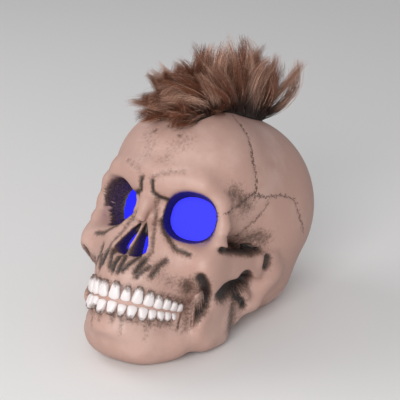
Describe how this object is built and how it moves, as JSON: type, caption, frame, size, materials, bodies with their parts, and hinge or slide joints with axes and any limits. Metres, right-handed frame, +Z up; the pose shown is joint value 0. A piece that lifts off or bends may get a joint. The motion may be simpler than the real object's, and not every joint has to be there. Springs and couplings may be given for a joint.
{
  "type": "light-up skull decoration",
  "caption": "Hollow cast skull resting on jaw and occiput, with lit blue eye and nose lenses, a faux fur mohawk, and a base plate with cells, slide switch and sliding battery door.",
  "frame": {"origin": "on the ground under the middle of the whole piece's box", "axes": "+Z up, -Y the way the face looks, +X to the skull's own left"},
  "size_m": [0.1448, 0.2642, 0.2134],
  "materials": {
    "bone_plastic": "matt cast plastic painted bone, dark wash in the recesses",
    "blue_lens": "translucent blue, lit from behind",
    "white_plastic": "moulded white",
    "black_lead": "soft insulation",
    "red_lead": "soft insulation",
    "blue_lamp": "clear blue epoxy",
    "base_plastic": "moulded, fine texture",
    "cell_jacket": "plain sleeve without print",
    "steel": "nickel plated",
    "knob_plastic": "moulded",
    "board_green": "solder mask",
    "chip_resin": "potting resin",
    "resistor_body": "coated",
    "fur_cloth": "woven backing",
    "fur_fibre": "long acrylic pile, brown with blond streaks"
  },
  "bodies": {
    "skull": {"skull_shell": "bone_plastic", "eye_lens_left": "blue_lens", "eye_lens_right": "blue_lens", "nose_lens": "blue_lens", "lamp_holder_left": "white_plastic", "lamp_left": "blue_lamp", "lamp_holder_right": "white_plastic", "lamp_right": "blue_lamp", "lamp_holder_nose": "white_plastic", "lamp_nose": "blue_lamp", "lamp_lead_left": "black_lead", "lamp_lead_right": "black_lead", "lamp_lead_nose": "black_lead", "base_plate": "base_plastic", "base_screw_1": "steel", "base_screw_2": "steel", "base_screw_3": "steel", "base_screw_4": "steel", "cell_1": "cell_jacket", "cell_2": "cell_jacket", "cell_3": "cell_jacket", "contact_positive": "steel", "contact_link_left": "steel", "contact_link_right": "steel", "contact_negative": "steel", "cell_lead_red": "red_lead", "cell_lead_black": "black_lead", "switch_body": "steel", "circuit_board": "board_green", "board_screw_1": "steel", "board_screw_2": "steel", "chip": "chip_resin", "resistor_1": "resistor_body", "resistor_2": "resistor_body", "resistor_3": "resistor_body", "fur_backing": "fur_cloth", "fur_pile": "fur_fibre"},
    "door": {"battery_door": "base_plastic"},
    "switch": {"switch_knob": "knob_plastic"}
  },
  "joints": [
    {"name": "battery_door_slide", "type": "slide", "parent": "skull", "child": "door", "axis": [0, 1, 0], "range_m": [0, 0.008]},
    {"name": "switch_slide", "type": "slide", "parent": "skull", "child": "switch", "axis": [1, 0, 0], "range_m": [0, 0.003]}
  ]
}
